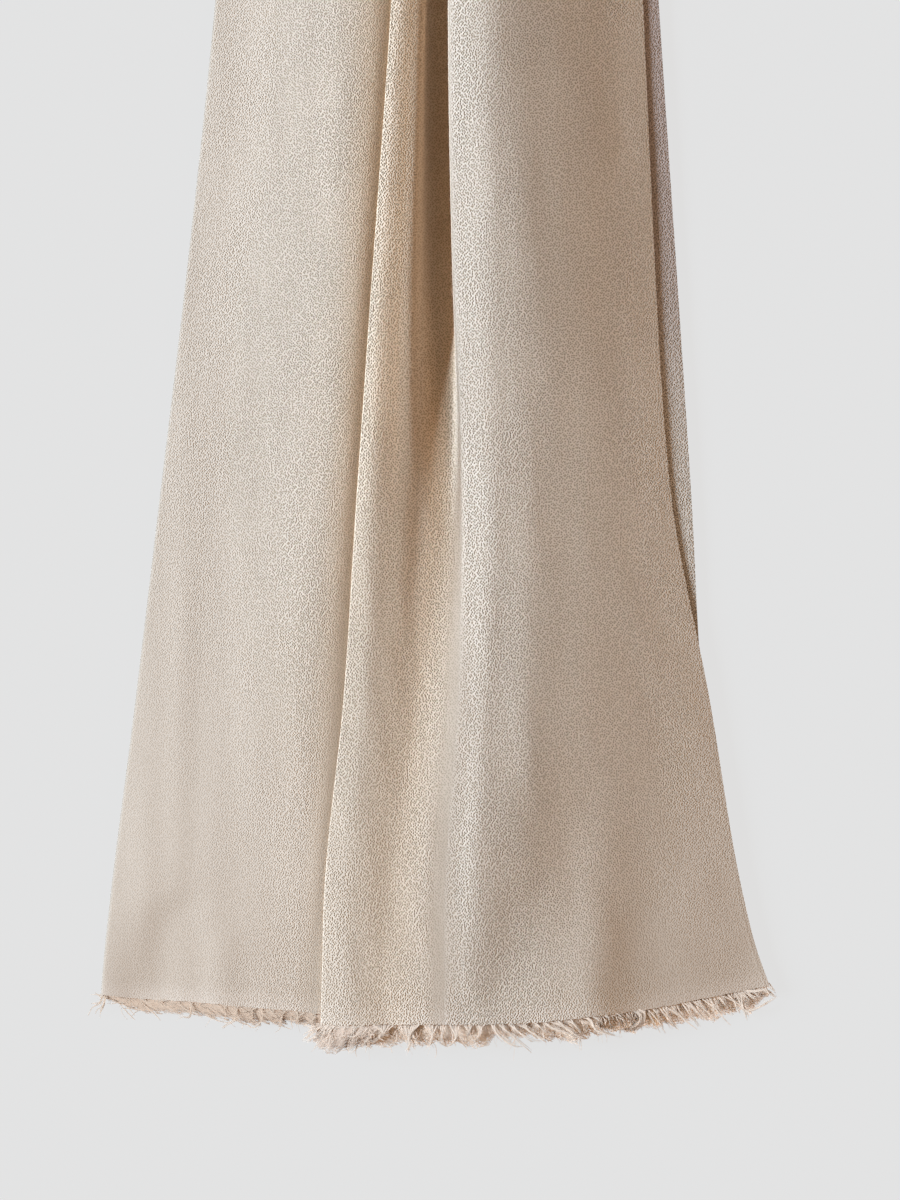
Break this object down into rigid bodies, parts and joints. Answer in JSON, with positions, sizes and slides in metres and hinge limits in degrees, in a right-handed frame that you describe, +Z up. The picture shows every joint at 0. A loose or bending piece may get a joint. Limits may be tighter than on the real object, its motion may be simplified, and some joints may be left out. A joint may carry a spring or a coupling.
{
  "type": "pashmina shawl, laid flat and folded",
  "caption": "Light woven shawl with raveled ends, folded lengthwise and across and laid flat, with a deep soft fold down its front and a wide flared hem.",
  "frame": {"origin": "on the surface that the shawl lies on, under the middle of its bounding box", "axes": "+X to the right and +Y from the fringed hem to the crosswise fold, as seen from above; +Z up from the surface"},
  "size_m": [0.3396, 0.9715, 0.0188],
  "materials": {
    "cloth": "matt crepe weave of fine goat's wool, pale beige, slightly fuzzy",
    "hidden_cloth": "the same cloth, in the shade of the plies over it",
    "fringe": "raveled wool yarns, soft and matt"
  },
  "bodies": {
    "root": {"side_stretch": "cloth", "front_stretch": "cloth", "back_stretch": "cloth", "hidden_layers": "hidden_cloth", "fringe_side": "fringe", "fringe_front": "fringe", "fringe_under": "fringe", "fringe_back": "fringe"}
  },
  "joints": []
}
